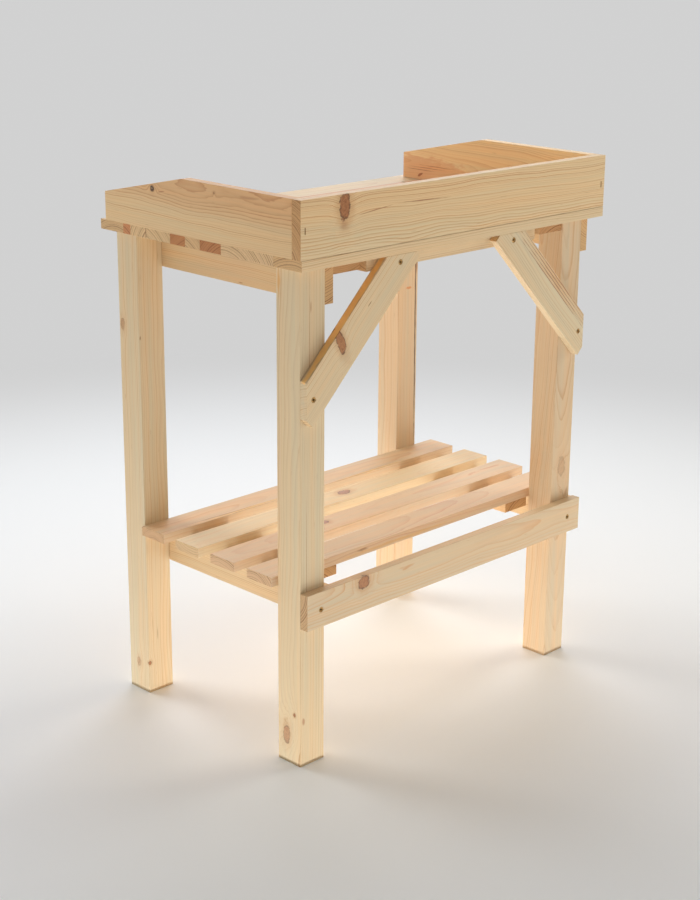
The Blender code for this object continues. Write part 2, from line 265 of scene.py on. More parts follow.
# How much each pattern changes the tone, and how much it moves the hue towards orange
FIBRE_TONE, STREAK_TONE, PATCH_TONE, STREAK_WARMTH, PATCH_WARMTH = 0.16, 0.26, 0.12, 0.26, 0.20
BLUE_PER_WARMTH = -2.0
TICK_RANGE, TICK_STRENGTH, HALO_STRENGTH, RIM_STRENGTH = (0.735, 0.80), 0.30, 0.42, 0.80
PORE_TONE, END_SHADE, END_RING_STRENGTH = 0.30, 0.86, 0.95

# Roughness: of plain pine, and what latewood, fibres, knots and sawn ends add to it
PINE_ROUGH, LATE_ROUGH, FIBRE_ROUGH, KNOT_ROUGH, END_ROUGH = 0.60, -0.10, 0.12, -0.16, 0.14

# Relief, metres
FIBRE_RELIEF, RING_RELIEF, SAW_RELIEF, RIM_RELIEF = 0.00006, 0.00004, 0.00012, -0.00008

KNOT_HALO = srgb(196, 140, 88)
KNOT_DARK, KNOT_PALE, KNOT_RIM = srgb(140, 80, 44), srgb(210, 146, 94), srgb(84, 44, 26)
END_LATE = srgb(166, 132, 106)
TICK = srgb(168, 122, 76)


def pine_group():
    """Pine: growth rings round a pith beside the board, thin dark latewood, fibres, resin
    ticks and knots."""
    graph, given, out = new_group(
        "pine",
        [
            ("Position", "Vector"),
            ("Grain", "Vector"),
            ("Pith", "Vector"),
            ("Slope", "Vector"),
            ("Ring", "Float"),
            ("Wave", "Float"),
            ("Seed", "Float"),
            ("Bulge", "Float"),
            ("Knot", "Float"),
            ("Rim", "Float"),
            ("Halo", "Float"),
            ("Early", "Color"),
            ("Late", "Color"),
            ("Heart", "Color"),
            ("Heart Radius", "Float"),
            ("Figure", "Float"),
            ("End", "Float"),
            ("End Tone", "Color"),
        ],
        [("Color", "Color"), ("Roughness", "Float"), ("Height", "Float")],
    )
    seed = graph.combine(given["Seed"], graph.mul(given["Seed"], 1.7), graph.mul(given["Seed"], 0.6))

    def noise_at(stretch, detail=2.0, colour=False, rough=0.5):
        place = graph.vector("MULTIPLY_ADD", given["Grain"], stretch, seed)
        return graph.noise(place, 1.0, detail, rough, colour)

    wander = graph.vector("SUBTRACT", noise_at(WANDER_SCALE, 1.0, True), HALF)
    from_pith = graph.vector("SUBTRACT", given["Grain"], given["Pith"])
    along = graph.separate(given["Grain"])[0]
    strayed = graph.vector("SCALE", given["Slope"], scale=along)
    from_pith = graph.vector("SUBTRACT", from_pith, strayed)
    from_pith = graph.vector("MULTIPLY_ADD", wander, WANDER, from_pith)
    _, y, z = graph.separate(from_pith)
    radius = graph.math("SQRT", graph.mad(y, y, graph.mul(z, z)))
    radius = graph.add(radius, given["Bulge"])
    slow_wave = graph.mul(graph.sub(noise_at(SLOW_WAVE_SCALE, 1.0), 0.5), SLOW_WAVE)
    radius = graph.mad(slow_wave, given["Wave"], radius)
    quick_wave = graph.mul(graph.sub(noise_at(QUICK_WAVE_SCALE), 0.5), QUICK_WAVE)
    radius = graph.mad(quick_wave, given["Wave"], radius)
    end_ring = graph.mul(given["Ring"], END_RING_FACTOR)
    end_ring = graph.math("MINIMUM", end_ring, WIDEST_END_RING)
    ring = graph.mad(given["End"], graph.sub(end_ring, given["Ring"]), given["Ring"])
    years = graph.math("DIVIDE", radius, ring)
    place = graph.combine(graph.mul(radius, GROWTH_SCALE), given["Seed"], 0.0)
    growth = graph.sub(graph.noise(place, 1.0, 3.0), 0.5)
    years = graph.mad(growth, GROWTH_CHANGE, years)
    year = graph.math("FLOOR", years)
    season = graph.math("FRACT", years)
    rising = graph.steps(season, 0.0, LATEWOOD_PEAK, smooth=False)
    rising = graph.math("POWER", rising, LATEWOOD_START_SHARPNESS)
    late = graph.mul(rising, graph.steps(season, 1.0, LATEWOOD_STOP))
    strength = graph.node(
        "ShaderNodeTexWhiteNoise",
        {"Vector": graph.combine(year, given["Seed"], 0.5)},
        noise_dimensions="3D",
    ).outputs["Value"]
    late = graph.mul(late, graph.mad(graph.mul(strength, strength), LATE_VARIATION, LATE_LEAST))

    fibre = graph.sub(noise_at(FIBRE_SCALE, 2.0, rough=0.6), 0.5)
    streak = graph.sub(noise_at(STREAK_SCALE, 3.0, rough=0.6), 0.5)
    patch = graph.sub(noise_at(PATCH_SCALE, 2.0), 0.5)
    ticks = graph.steps(noise_at(TICK_SCALE, 1.0), *TICK_RANGE)

    figure = graph.mul(late, given["Figure"])
    figure = graph.mul(figure, graph.mad(streak, STREAK_ON_FIGURE, 1.0))
    past_heart = graph.sub(radius, given["Heart Radius"])
    past_heart = graph.mad(graph.sub(season, 0.5), HEART_EDGE_STEP, past_heart)
    heart = graph.steps(past_heart, HEART_EDGE_HALF_WIDTH, -HEART_EDGE_HALF_WIDTH)
    base = graph.mix(heart, given["Early"], given["Heart"])
    colour = graph.mix(figure, base, given["Late"])
    tone = graph.mad(fibre, FIBRE_TONE, 1.0)
    tone = graph.mad(streak, STREAK_TONE, tone)
    tone = graph.mad(patch, PATCH_TONE, tone)
    warm = graph.mad(streak, STREAK_WARMTH, graph.mul(patch, PATCH_WARMTH))
    shade = graph.combine(tone, graph.sub(tone, warm), graph.mad(warm, BLUE_PER_WARMTH, tone))
    colour = graph.mix(1.0, colour, shade, "MULTIPLY")
    colour = graph.mix(graph.mul(ticks, TICK_STRENGTH), colour, TICK)
    colour = graph.mix(graph.mul(given["Halo"], HALO_STRENGTH), colour, KNOT_HALO)
    cloud = graph.noise(given["Position"], KNOT_TONE_SCALE, 2.0)
    colour = graph.mix(given["Knot"], colour, graph.mix(cloud, KNOT_DARK, KNOT_PALE))
    colour = graph.mix(graph.mul(given["Rim"], RIM_STRENGTH), colour, KNOT_RIM)
    pores = graph.noise(given["Position"], PORE_SCALE, 1.0)
    grey = graph.mad(pores, PORE_TONE, END_SHADE)
    sawn = graph.mix(1.0, base, given["End Tone"], "MULTIPLY")
    dark_ring = graph.mix(1.0, sawn, END_LATE, "MULTIPLY")
    sawn = graph.mix(graph.mul(late, END_RING_STRENGTH), sawn, dark_ring)
    sawn = graph.mix(1.0, sawn, graph.combine(grey, grey, grey), "MULTIPLY")
    colour = graph.mix(given["End"], colour, sawn)
    graph.put(out["Color"], colour)

    rough = graph.mad(late, LATE_ROUGH, PINE_ROUGH)
    rough = graph.mad(fibre, FIBRE_ROUGH, rough)
    rough = graph.mad(given["Knot"], KNOT_ROUGH, rough)
    graph.put(out["Roughness"], graph.mad(given["End"], END_ROUGH, rough))

    height = graph.mad(fibre, FIBRE_RELIEF, graph.mul(figure, RING_RELIEF))
    saw = graph.mul(graph.mul(graph.sub(pores, 0.5), given["End"]), SAW_RELIEF)
    height = graph.add(height, graph.add(saw, graph.mul(given["Rim"], RIM_RELIEF)))
    graph.put(out["Height"], height)
    return graph.tree


KNOT = knot_group()
MARK = mark_group()
PINE = pine_group()

# Tones: earlywood, latewood, heartwood, and how strongly the rings show
PALE = (srgb(226, 201, 162), srgb(184, 134, 84), srgb(222, 186, 140), 0.55)
CREAM = (srgb(222, 198, 160), srgb(190, 140, 92), srgb(224, 190, 146), 0.50)
WARM = (srgb(228, 198, 154), srgb(176, 120, 72), srgb(216, 168, 120), 0.50)
TAN = (srgb(222, 190, 146), srgb(182, 128, 78), srgb(216, 170, 120), 0.55)
BACK = (srgb(232, 202, 156), srgb(188, 114, 58), srgb(238, 212, 170), 0.72)
LEG = (srgb(219, 190, 153), srgb(190, 134, 84), srgb(222, 176, 128), 0.42)
FAR_LEG = (srgb(221, 193, 157), srgb(198, 142, 94), srgb(230, 182, 138), 0.45)
SIDE = (srgb(230, 196, 148), srgb(184, 118, 70), srgb(224, 178, 128), 0.60)
INNER = (srgb(250, 212, 158), srgb(214, 150, 96), srgb(250, 212, 158), 0.45)
SLAT = (srgb(232, 205, 174), srgb(210, 156, 110), srgb(230, 190, 150), 0.50)
SLAT_CREAM = (srgb(236, 214, 178), srgb(214, 168, 116), srgb(230, 194, 150), 0.50)
FAR_SLAT = (srgb(222, 192, 158), srgb(198, 146, 102), srgb(220, 178, 138), 0.50)
STRETCHER = (srgb(216, 190, 154), srgb(204, 136, 80), srgb(222, 180, 136), 0.85)
PLAIN_END, DARK_END, PALE_END = srgb(240, 224, 206), srgb(226, 202, 180), srgb(248, 238, 224)

# How squarely a face has to look along the board to be end grain, and how the surface shines
END_FACING = (0.76, 0.90)
PINE_SPECULAR, PINE_BUMP = 0.30, 0.6

X_AXIS, Y_AXIS, Z_AXIS = Vector((1, 0, 0)), Vector((0, 1, 0)), Vector((0, 0, 1))


def middle(node):
    low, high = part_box(node)
    return (low + high) / 2


def strip_grain(graph, local, strips, first):
    """Moves the grain and changes the tone from strip to strip of a glued panel. strips are
    (edge, pith move, tone) from the front, each reaching from its edge to the next."""
    across = graph.separate(local)[1]
    grain, colour, so_far = local, first, Vector((0, 0, 0))
    for edge, move, tone in strips:
        past = graph.math("GREATER_THAN", across, edge)
        step = tuple(Vector(move) - so_far)
        grain = graph.vector("MULTIPLY_ADD", graph.combine(past, past, past), step, grain)
        so_far = Vector(move)
        colour = graph.mix(past, colour, tone)
    return grain, colour


def board(node, along, wide, pith, ring, seed, tone, wave=1.0, knots=(), marks=(), heart=0.0,
          strips=(), end_tone=PLAIN_END, slope=(0.0, 0.0)):
    """Gives a board its own pine.

    along and wide are its length and width directions, and ring is the usual width of a year.
    pith is where the tree's middle ran, across the width and through the thickness, and slope
    is how it strays along the board. A knot is (place in the row frame, branch direction,
    radius, how long along the grain, how dark). A mark is (place, half sizes along, across and
    through, lean, colour, strength, softness). heart is the heartwood's radius. strips are
    those of a glued panel."""
    made = bpy.data.materials.new("pine_" + node)
    made.use_nodes = True
    graph = Graph(made.node_tree)
    surface = made.node_tree.nodes["Principled BSDF"]
    axes = (along, wide, along.cross(wide))
    centre = middle(node)

    def in_board(vector):
        return tuple(Vector(vector).dot(axis) for axis in axes)

    place = graph.node("ShaderNodeTexCoord").outputs["Object"]
    place = graph.vector("SUBTRACT", place, tuple(centre))
    local = graph.combine(*(graph.vector("DOT_PRODUCT", place, tuple(axis)) for axis in axes))
    early, late, heart_tone, figure = tone
    grain, early = strip_grain(graph, local, strips, early) if strips else (local, early)
    chain = {"Grain": grain, "Bulge": 0.0, "Knot": 0.0, "Rim": 0.0, "Halo": 0.0}
    for spot, branch, radius, long, dark in knots:
        knot = graph.node("ShaderNodeGroup", node_tree=KNOT)
        settings = {
            **chain,
            "Position": local,
            "Centre": in_board(Vector(spot) - centre),
            "Branch": in_board(Vector(branch).normalized()),
            "Radius": radius,
            "Long": long,
            "Dark": dark,
        }
        for name, value in settings.items():
            graph.put(knot.inputs[name], value)
        chain = {name: knot.outputs[name] for name in chain}
    normal = graph.node("ShaderNodeNewGeometry").outputs["True Normal"]
    facing = graph.math("ABSOLUTE", graph.vector("DOT_PRODUCT", normal, tuple(along)))
    pine = graph.node("ShaderNodeGroup", node_tree=PINE)
    settings = {
        **chain,
        "Position": local,
        "Pith": (0.0, *pith),
        "Slope": (0.0, *slope),
        "Ring": ring,
        "Wave": wave,
        "Seed": seed,
        "Early": early,
        "Late": late,
        "Heart": heart_tone,
        "Heart Radius": heart,
        "Figure": figure,
        "End": graph.steps(facing, *END_FACING),
        "End Tone": end_tone,
    }
    for name, value in settings.items():
        graph.put(pine.inputs[name], value)
    colour = pine.outputs["Color"]
    for spot, half_size, lean, tint, strength, soft in marks:
        mark = graph.node("ShaderNodeGroup", node_tree=MARK)
        settings = {
            "Position": local,
            "Color": colour,
            "Centre": in_board(Vector(spot) - centre),
            "Half Size": half_size,
            "Lean": lean,
            "Tint": tint,
            "Strength": strength,
            "Soft": soft,
        }
        for name, value in settings.items():
            graph.put(mark.inputs[name], value)
        colour = mark.outputs["Color"]
    graph.put(surface.inputs["Base Color"], colour)
    graph.put(surface.inputs["Roughness"], pine.outputs["Roughness"])
    surface.inputs["Specular IOR Level"].default_value = PINE_SPECULAR
    relief = {"Height": pine.outputs["Height"], "Distance": 1.0, "Strength": PINE_BUMP}
    bump = graph.node("ShaderNodeBump", relief)
    graph.put(surface.inputs["Normal"], bump.outputs["Normal"])
    NODES[node].data.materials.clear()
    NODES[node].data.materials.append(made)


BROWN, RED_BROWN, DARK_LINE = srgb(140, 88, 50), srgb(170, 104, 64), srgb(84, 46, 28)
ORANGE, HONEY = srgb(226, 164, 88), srgb(228, 184, 116)
LINE_SOFTNESS = 0.6


def lines(first, step, count, half_size, tint, strength):
    """A row of thin streaks side by side."""
    places = [tuple(Vector(first) + Vector(step) * i) for i in range(count)]
    return [(place, half_size, 0.0, tint, strength, LINE_SOFTNESS) for place in places]


board("leg_back_right", Z_AXIS, X_AXIS, (-0.080, 0.030), 0.0022, 1.3, PALE, 0.6,
      knots=[((0.308, 0.168, 0.042), (0.5, 0.1, 0.85), 0.0068, 1.1, 0.60),
             ((0.308, 0.184, 0.077), (1, 0.1, 0.2), 0.0022, 1.2, 1.0)],
      marks=[((0.302, 0.196, 0.069), (0.007, 0.0035, 0.002), 0.0, RED_BROWN, 0.6, 0.6),
             ((0.288, 0.196, 0.660), (0.010, 0.0010, 0.002), 0.0, RED_BROWN, 0.9, 0.6),
             ((0.308, 0.156, 0.690), (0.026, 0.0030, 0.004), 0.0, ORANGE, 0.7, 0.8),
             ((0.2905, 0.196, 0.600), (0.120, 0.0006, 0.002), 0.0, RED_BROWN, 0.8, 0.7),
             ((0.2960, 0.196, 0.290), (0.130, 0.0006, 0.002), 0.0, RED_BROWN, 0.8, 0.7)])
board("leg_front_right", Z_AXIS, X_AXIS, (-0.030, 0.075), 0.0024, 4.1, CREAM, 0.7,
      knots=[((0.306, -0.1415, 0.049), (0.7, 0.7, 0.0), 0.0022, 1.3, 1.0),
             ((0.308, -0.165, 0.045), (1, 0, 0.1), 0.0045, 1.6, 0.40),
             ((0.308, -0.179, 0.574), (1, 0, 0.1), 0.0044, 2.0, 0.50)],
      marks=[((0.3065, -0.141, 0.560), (0.004, 0.0016, 0.003), 0.0, BROWN, 0.70, 0.7),
             ((0.290, -0.141, 0.095), (0.014, 0.0010, 0.003), 0.0, BROWN, 0.55, 0.7),
             ((0.299, -0.141, 0.110), (0.020, 0.0008, 0.003), 0.0, BROWN, 0.35, 0.7)])
board("leg_back_left", Z_AXIS, X_AXIS, (0.002, -0.035), 0.0036, 7.7, LEG, 1.3, slope=(0.02, 0.055),
      knots=[((-0.256, 0.196, 0.318), (-0.3, 1, -0.2), 0.0080, 2.0, 0.28)],
      marks=[((-0.271, 0.196, 0.273), (0.012, 0.0050, 0.004), 0.3, RED_BROWN, 0.45, 0.8),
             ((-0.2775, 0.196, 0.480), (0.200, 0.0016, 0.004), 0.0, HONEY, 0.50, 0.8)])
board("leg_front_left", Z_AXIS, X_AXIS, (-0.060, -0.030), 0.0026, 9.2, FAR_LEG, 0.6,
      marks=[((-0.2735, -0.141, 0.480), (0.250, 0.0017, 0.004), -0.009, DARK_LINE, 0.9, 0.5),
             ((-0.2570, -0.141, 0.551), (0.0030, 0.009, 0.004), 0.0, srgb(214, 136, 76), 0.8, 0.6),
             ((-0.2745, -0.141, 0.586), (0.020, 0.0040, 0.004), 0.0, BROWN, 0.6, 0.8)])
board("upper_side_rail_right", Y_AXIS, Z_AXIS, (0.080, 0.030), 0.0024, 12.9, TAN,
      marks=[((0.263, 0.030, 0.662), (0.006, 0.0013, 0.020), 0.0, RED_BROWN, 0.6, 0.7)])
board("lower_side_rail_right", Y_AXIS, Z_AXIS, (-0.060, 0.030), 0.0028, 14.4, WARM)
board("upper_side_rail_left", Y_AXIS, Z_AXIS, (0.050, -0.030), 0.0026, 16.1, WARM)
board("lower_side_rail_left", Y_AXIS, Z_AXIS, (-0.045, 0.040), 0.0024, 18.8, WARM)
board("worktop_batten_right", Y_AXIS, X_AXIS, (0.010, -0.060), 0.0026, 21.5, TAN, end_tone=DARK_END)
board("worktop_batten_left", Y_AXIS, X_AXIS, (-0.020, 0.050), 0.0024, 23.2, TAN, end_tone=DARK_END)
board("brace_anchor_strip", X_AXIS, Y_AXIS, (0.030, 0.040), 0.0024, 25.6, PALE)
board("tray_back_board", X_AXIS, Z_AXIS, (-0.065, 0.050), 0.0022, 27.4, BACK, 1.1, end_tone=DARK_END,
      heart=0.062, slope=(0.020, 0.0),
      knots=[((0.2400, 0.2095, 0.7880), (0, 0.42, 0.90), 0.0074, 1.25, 1.0)],
      marks=[((0.2415, 0.2095, 0.7630), (0.011, 0.009, 0.004), 0.0, RED_BROWN, 0.40, 0.9),
             ((0.090, 0.2095, 0.7800), (0.060, 0.0013, 0.004), -0.03, RED_BROWN, 0.8, 0.7),
             ((0.185, 0.2095, 0.7770), (0.045, 0.0010, 0.004), 0.10, RED_BROWN, 0.8, 0.7)])
board("tray_side_board_right", Y_AXIS, Z_AXIS, (0.034, -0.050), 0.0022, 31.7, SIDE, 1.3, heart=0.062,
      knots=[((0.319, -0.0885, 0.7835), (1, 0, 0), 0.0044, 1.0, 0.5),
             ((0.319, 0.042, 0.793), (1, 0, 0), 0.0016, 1.0, 0.8)],
      marks=[((0.319, -0.0885, 0.7835), (0.0050, 0.0046, 0.004), 0.0, srgb(62, 42, 30), 0.95, 0.5),
             ((0.319, -0.0890, 0.7838), (0.0022, 0.0020, 0.004), 0.0, srgb(170, 140, 108), 0.90, 0.6),
             ((0.319, -0.068, 0.7815), (0.009, 0.0012, 0.003), -0.15, RED_BROWN, 0.7, 0.6),
             ((0.319, 0.110, 0.795), (0.030, 0.0030, 0.003), -0.05, RED_BROWN, 0.40, 0.8)])
board("tray_side_board_left", Y_AXIS, Z_AXIS, (-0.010, 0.030), 0.0036, 33.3, INNER, 1.2, slope=(0.0, 0.08),
      marks=[((-0.297, -0.210, 0.735), (0.195, 0.0350, 0.006), 0.0, srgb(226, 148, 100), 0.50, 0.25),
             ((-0.297, -0.157, 0.734), (0.0070, 0.0030, 0.004), -0.5, srgb(170, 84, 44), 0.85, 0.5),
             *lines((-0.297, -0.160, 0.742), (0, 0.020, 0.004), 3, (0.045, 0.0009, 0.004),
                    srgb(176, 92, 52), 0.7)])
board("shelf_slat_1", X_AXIS, Y_AXIS, (0.004, -0.030), 0.0052, 41.2, FAR_SLAT, 1.5,
      slope=(0.0, 0.03),
      marks=[((0.140, -0.0930, 0.2736), (0.170, 0.0040, 0.010), 0.0, HONEY, 0.75, 0.8),
             ((-0.120, -0.0920, 0.2736), (0.120, 0.0030, 0.010), 0.0, HONEY, 0.75, 0.8),
             *lines((0.230, -0.098, 0.2736), (-0.030, 0.0016, 0), 3, (0.050, 0.0009, 0.003), BROWN, 0.6)])
board("shelf_slat_2", X_AXIS, Y_AXIS, (0.010, 0.040), 0.0050, 43.8, SLAT_CREAM, 1.5,
      slope=(0.0, 0.025),
      knots=[((-0.012, -0.044, 0.2736), (0.2, 0.3, 1), 0.0070, 1.7, 0.9)],
      marks=[((0.100, -0.0150, 0.2710), (0.200, 0.0040, 0.010), 0.0, HONEY, 0.75, 0.8)])
board("shelf_slat_3", X_AXIS, Y_AXIS, (-0.004, -0.034), 0.0052, 45.1, SLAT, 1.5,
      slope=(0.0, -0.03),
      knots=[((0.106, 0.034, 0.2736), (0, 0.1, 1), 0.0054, 1.4, 0.9)],
      marks=[((0.050, 0.0640, 0.2700), (0.250, 0.0030, 0.010), 0.0, HONEY, 0.60, 0.8)])
board("shelf_slat_4", X_AXIS, Y_AXIS, (-0.012, -0.040), 0.0048, 47.9, SLAT, 1.5,
      slope=(0.0, 0.03),
      marks=[((0.135, 0.1443, 0.2680), (0.014, 0.004, 0.003), 0.0, BROWN, 0.55, 0.7),
             ((0.050, 0.1443, 0.2640), (0.200, 0.004, 0.004), 0.0, HONEY, 0.55, 0.8)])
board("shelf_batten_right", Y_AXIS, X_AXIS, (0.030, 0.050), 0.0026, 51.4, TAN)
board("shelf_batten_left", Y_AXIS, X_AXIS, (-0.030, 0.050), 0.0026, 53.4, TAN)
board("back_stretcher", X_AXIS, Z_AXIS, (0.016, 0.046), 0.0028, 55.5, STRETCHER, 0.8, slope=(0.04, -0.012),
      knots=[((0.199, 0.2103, 0.254), (0, 1, 0.3), 0.0086, 1.20, 0.9)])
UP_LEFT = Vector((-1, 0, 1)).normalized()
UP_RIGHT = Vector((1, 0, 1)).normalized()
board("diagonal_brace_right", UP_LEFT, UP_RIGHT, (-0.080, 0.030), 0.0026, 61.0, PALE, 0.6,
      knots=[((0.246, 0.2093, 0.608), (-0.376, 0.38, -0.85), 0.0066, 1.0, 0.9)],
      marks=[((0.192, 0.2093, 0.652), (0.006, 0.0010, 0.002), 0.0, BROWN, 0.9, 0.6),
             # The bright orange strip along the top edge is partly the wood's orange tone and partly a
             # painted highlight, lightening the edge where the worktop shades it.
             ((0.2325, 0.2028, 0.6385), (0.160, 0.0030, 0.0062), 0.0, srgb(252, 200, 126), 1.0, 0.3)],
      end_tone=PALE_END)
TOP_EDGE = Vector((-0.2025, 0.2028, 0.6385))
STRIPE_STEP = -0.0045 * UP_LEFT
board("diagonal_brace_left", UP_RIGHT, UP_LEFT, (0.040, 0.035), 0.0024, 63.6, PALE, 0.7,
      marks=[*lines(TOP_EDGE - UP_LEFT * 0.0020, STRIPE_STEP, 4, (0.160, 0.0014, 0.020), RED_BROWN, 0.80),
             *lines(TOP_EDGE - UP_LEFT * 0.0042, STRIPE_STEP, 3, (0.150, 0.0009, 0.020), ORANGE, 0.60)],
      end_tone=PALE_END)

STRIPS = (
    (-0.158, (0.0, 0.010, 0.010), srgb(220, 164, 122)),
    (-0.142, (0.0, -0.100, -0.020), srgb(238, 216, 178)),
    (-0.107, (0.0, -0.050, 0.000), srgb(236, 214, 176)),
    (-0.054, (0.0, -0.182, 0.010), srgb(206, 152, 106)),
    (-0.022, (0.0, -0.129, 0.010), srgb(232, 206, 166)),
    (0.009, (0.0, -0.256, 0.000), srgb(202, 148, 104)),
    (0.0525, (0.0, -0.234, 0.010), srgb(238, 216, 180)),
    (0.156, (0.0, -0.370, 0.010), srgb(230, 202, 160)),
)
GLUE_LINE = [((0.3175, -0.107, 0.7186), (0.020, 0.0008, 0.020), 0.0, BROWN, 0.9, 0.4)]
board("worktop_panel", X_AXIS, Y_AXIS, (-0.180, -0.050), 0.0026, 71.1, PALE, 0.8,
      strips=STRIPS, marks=GLUE_LINE)


# The near-black colour below is painted shade for the inside of a screw's cross recess.
CLOUD_SCALE, CLOUD_ROUGH, PAINTED_RECESS_SHADE = 700.0, 0.25, srgb(30, 22, 16)
# Where shade is painted into a screw's cross recess: from the axis out, and from the face down
PAINTED_SHADE_RADII, PAINTED_SHADE_HEIGHTS = (0.0027, 0.0023), (-0.0006, -0.0010)


def zinc(name, dark, light, rough):
    """Zinc plating with a faint cloudiness, and painted shade, near black, inside a screw's cross recess.
    """
    made = bpy.data.materials.new(name)
    made.use_nodes = True
    graph = Graph(made.node_tree)
    surface = made.node_tree.nodes["Principled BSDF"]
    place = graph.node("ShaderNodeTexCoord").outputs["Object"]
    cloud = graph.noise(place, CLOUD_SCALE, 3.0)
    x, y, z = graph.separate(place)
    out_from_axis = graph.math("SQRT", graph.mad(x, x, graph.mul(y, y)))
    near_axis = graph.steps(out_from_axis, *PAINTED_SHADE_RADII)
    inside = graph.mul(near_axis, graph.steps(z, *PAINTED_SHADE_HEIGHTS))
    plating = graph.mix(cloud, dark, light)
    # Painted shade: the cross recess is coloured near black.
    graph.put(surface.inputs["Base Color"], graph.mix(inside, plating, PAINTED_RECESS_SHADE))
    graph.put(surface.inputs["Roughness"], graph.mad(cloud, CLOUD_ROUGH, rough))
    surface.inputs["Metallic"].default_value = 1.0
    return made


SCREW_ZINC = zinc("yellow_zinc", srgb(140, 104, 60), srgb(196, 156, 98), 0.30)
STAPLE_STEEL = zinc("staple_steel", srgb(96, 74, 56), srgb(140, 112, 88), 0.35)


def new_piece(name, builder, finish, place, aim, node):
    """A fastener's mesh, put where its CAD node is and standing for it."""
    mesh = bpy.data.meshes.new(name)
    bmesh.ops.recalc_face_normals(builder, faces=builder.faces)
    builder.to_mesh(mesh)
    builder.free()
    mesh.materials.append(finish)
    for polygon in mesh.polygons:
        polygon.use_smooth = True
    piece = bpy.data.objects.new(name, mesh)
    piece.location = place
    piece.rotation_mode = "QUATERNION"
    piece.rotation_quaternion = Vector(aim).to_track_quat("-Z", "X")
    bpy.context.scene.collection.objects.link(piece)
    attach(piece, "root")
    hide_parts(node)


# Screws: shank radius, head radius and head height by kind, as the CAD has them
WOOD_SCREW, SMALL_SCREW = (0.0020, 0.0039, 0.0024), (0.0015, 0.0030, 0.0018)
SMALL_SCREW_WIDTH = 0.007
HEAD_SUNK, THREAD_PITCH, THREAD_STEPS, AROUND = 0.0005, 0.0019, 6, 24
# The head's rim: depth past the head's face, and part of the head's radius
HEAD_RIM = ((0.00005, 0.90), (0.0, 0.96), (0.00012, 1.0), (0.00035, 1.0))
# Parts of the shank's radius, and the plain neck as a part of the length
NECK, THREAD_ROOT, THREAD_CREST, NECK_LENGTH = 0.80, 0.70, 0.29, 0.18
CREST_SHARPNESS, POINT_LENGTH, POINT_BLUNTNESS = 5.0, 4, 0.08
# The cross recess, as parts of the head's radius and height
RECESS_ARM, RECESS_HALF_WIDTH, RECESS_DEPTH_PART = 0.64, 0.17, 0.80
ARM_NARROWING, ARM_NOSE, RECESS_TAPER = 0.7, 1.05, 0.55


def close_ring(builder, upper, lower):
    """Quads between two rings of the same number of points."""
    for i in range(len(upper)):
        j = (i + 1) % len(upper)
        builder.faces.new((upper[i], upper[j], lower[j], lower[i]))


def edges_round(builder, ring):
    return [builder.edges.get((ring[i], ring[(i + 1) % len(ring)])) for i in range(len(ring))]


def cross_recess(builder, head, head_height):
    """A cross-shaped socket that narrows to its floor. Returns its outline in the head's face."""
    arm, half = head * RECESS_ARM, head * RECESS_HALF_WIDTH
    depth = HEAD_SUNK + head_height * RECESS_DEPTH_PART
    corners = (
        (half, -half),
        (arm, -half * ARM_NARROWING),
        (arm * ARM_NOSE, 0.0),
        (arm, half * ARM_NARROWING),
    )
    outline = []
    for quarter in range(4):
        turn = Matrix.Rotation(quarter * pi / 2, 3, "Z")
        outline += [turn @ Vector((x, y, 0)) for x, y in corners]
    face_depth = HEAD_SUNK + HEAD_RIM[0][0]
    top = [builder.verts.new((p.x, p.y, -face_depth)) for p in outline]
    low = [builder.verts.new((p.x * RECESS_TAPER, p.y * RECESS_TAPER, -depth)) for p in outline]
    close_ring(builder, low, top)
    builder.faces.new(low)
    return top


def screw_body(shank, head, head_height, length):
    """A countersunk wood screw along -Z from z = 0: a dished head with a cross recess, a plain
    neck, and a threaded shank to a point."""
    builder = bmesh.new()
    rings = []

    def ring(depth, radii):
        turns = [2 * pi * i / AROUND for i in range(AROUND)]
        rings.append([
            builder.verts.new((radius * cos(turn), radius * sin(turn), -depth))
            for turn, radius in zip(turns, radii)
        ])

    for depth, part in HEAD_RIM:
        ring(HEAD_SUNK + depth, [head * part] * AROUND)
    neck = shank * NECK
    ring(HEAD_SUNK + head_height, [neck] * AROUND)
    start = HEAD_SUNK + head_height + length * NECK_LENGTH
    ring(start, [neck] * AROUND)
    rows = int((length - start) / THREAD_PITCH * THREAD_STEPS)
    for row in range(1, rows):
        depth = start + (length - start) * row / rows
        taper = min(1.0, (length - depth) / (POINT_LENGTH * shank) + POINT_BLUNTNESS)
        radii = []
        for i in range(AROUND):
            turn = ((depth - start) / THREAD_PITCH + i / AROUND) % 1.0
            crest = max(0.0, 1.0 - abs(turn - 0.5) * CREST_SHARPNESS)
            radii.append(taper * (shank * THREAD_ROOT + shank * THREAD_CREST * crest))
        ring(depth, radii)
    for upper, lower in zip(rings, rings[1:]):
        close_ring(builder, upper, lower)
    tip = builder.verts.new((0, 0, -length))
    last = rings[-1]
    for i in range(AROUND):
        builder.faces.new((last[i], last[(i + 1) % AROUND], tip))
    socket = cross_recess(builder, head, head_height)
    edges = edges_round(builder, socket) + edges_round(builder, rings[0])
    bmesh.ops.bridge_loops(builder, edges=edges)
    return builder


STAPLE_WIRE, BEND_PART, BEND_STEPS, WIRE_SIDES = 0.0012, 0.9, 4, 8


